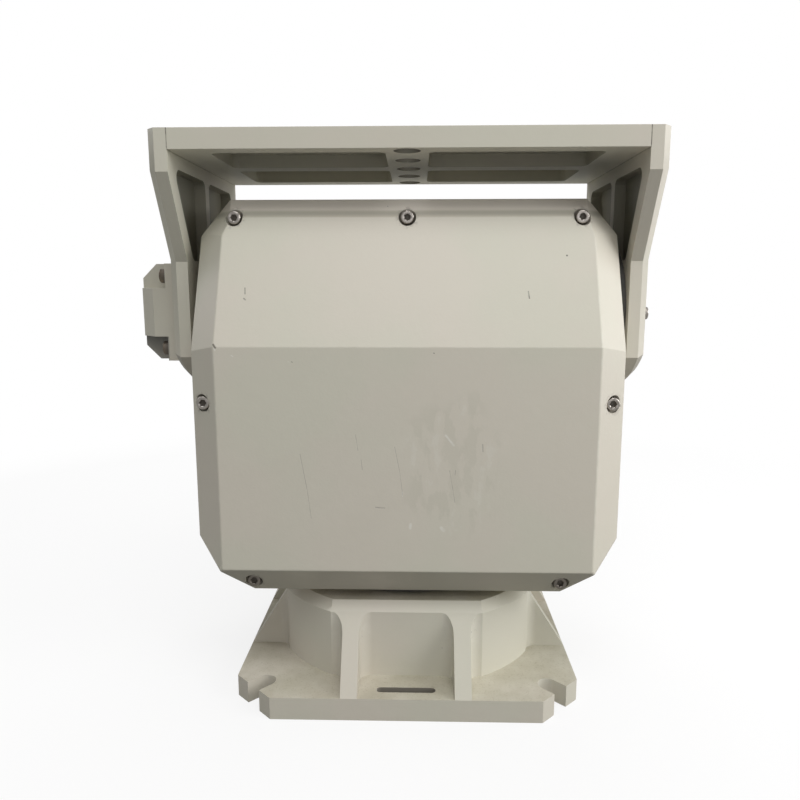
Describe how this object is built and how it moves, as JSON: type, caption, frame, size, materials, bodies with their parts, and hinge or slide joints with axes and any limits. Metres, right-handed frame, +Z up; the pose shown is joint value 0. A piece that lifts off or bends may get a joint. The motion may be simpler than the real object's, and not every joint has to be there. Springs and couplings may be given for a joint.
{
  "type": "motorized pan tilt head",
  "caption": "Faceted motor housing that turns on a ribbed square foot and swings a U bracket with a flat payload plate.",
  "frame": {"origin": "on the pan axis, in the plane of the foot's underside", "axes": "+Z up along the pan axis, +X along the tilt axis away from the notched hub cover, -Y out of the front cover"},
  "size_m": [0.3534, 0.23, 0.3728],
  "materials": {
    "coat": "satin powder coat, warm light grey",
    "post_steel": "turned",
    "bearing_steel": "ground",
    "gear_steel": "hardened, oiled",
    "screw_steel": "stainless, worn",
    "bare_aluminium": "milled",
    "dark_ring": "dark anodised",
    "seal_rubber": "matte",
    "gasket_rubber": "matte",
    "motor_case": "semi-matte black",
    "socket_metal": "nickel plated",
    "socket_insert": "matte",
    "slip_case": "matte",
    "board_green": "satin",
    "board_black": "matte"
  },
  "bodies": {
    "base": {"base_casting": "coat", "pan_post": "post_steel", "post_screws": "screw_steel", "pan_bearing_inner_lower": "bearing_steel", "pan_bearing_inner_upper": "bearing_steel", "pan_bearing_spacer": "post_steel", "pan_bearing_rollers": "bearing_steel", "pan_gear": "gear_steel", "pan_lock_nut": "post_steel", "slip_ring_stator": "slip_case", "rear_socket_shells": "socket_metal", "rear_socket_inserts": "socket_insert"},
    "pan_head": {"main_housing": "coat", "front_cover": "coat", "rear_cover": "coat", "front_gasket": "gasket_rubber", "rear_gasket": "gasket_rubber", "front_cover_screws": "screw_steel", "rear_cover_screws": "screw_steel", "pan_skirt_ring": "dark_ring", "pan_shaft_seal": "seal_rubber", "pan_bearing_outer_lower": "bearing_steel", "pan_bearing_outer_upper": "bearing_steel", "bearing_retainer": "bare_aluminium", "slip_ring_rotor": "slip_case", "slip_ring_fork": "bare_aluminium", "pan_motor": "motor_case", "pan_motor_bracket": "bare_aluminium", "tilt_motor": "motor_case", "tilt_motor_bracket": "bare_aluminium", "bracket_screws": "screw_steel", "tilt_bearing_outer_left": "bearing_steel", "tilt_bearing_outer_right": "bearing_steel", "tilt_shaft_seal_left": "seal_rubber", "tilt_shaft_seal_right": "seal_rubber", "tilt_circlips": "post_steel", "control_board": "board_green", "board_spacers": "bare_aluminium", "board_parts": "board_black"},
    "pan_pinion": {"pan_pinion": "gear_steel"},
    "tilt_pinion": {"tilt_pinion": "gear_steel"},
    "tilt_bracket": {"tilt_shaft": "post_steel", "tilt_gear": "gear_steel", "tilt_bearing_inner_left": "bearing_steel", "tilt_bearing_inner_right": "bearing_steel", "tilt_bearing_rollers": "bearing_steel", "left_hub_flange": "bare_aluminium", "right_hub_flange": "bare_aluminium", "left_arm": "coat", "right_arm": "coat", "top_plate": "coat", "plate_screws": "screw_steel", "left_hub_screws": "screw_steel", "right_hub_screws": "screw_steel", "left_hub_cover": "coat", "hub_cover_gasket": "gasket_rubber", "hub_cover_screws": "screw_steel"}
  },
  "joints": [
    {"name": "pan", "type": "hinge", "parent": "base", "child": "pan_head", "pos_m": [0, 0, 0.106], "axis": [0, 0, 1], "continuous": true},
    {"name": "tilt", "type": "hinge", "parent": "pan_head", "child": "tilt_bracket", "pos_m": [0, 0, 0.2585], "axis": [1, 0, 0], "range_deg": [-60, 60]},
    {"name": "pan_pinion_spin", "type": "hinge", "parent": "pan_head", "child": "pan_pinion", "pos_m": [-0.066, 0, 0.14], "axis": [0, 0, 1], "continuous": true},
    {"name": "tilt_pinion_spin", "type": "hinge", "parent": "pan_head", "child": "tilt_pinion", "pos_m": [0.089, 0, 0.1925], "axis": [1, 0, 0], "range_deg": [-170, 170]}
  ],
  "couplings": [
    {"joint": "pan_pinion_spin", "follows": "pan", "ratio": 2.6667},
    {"joint": "tilt_pinion_spin", "follows": "tilt", "ratio": -2.6667}
  ]
}
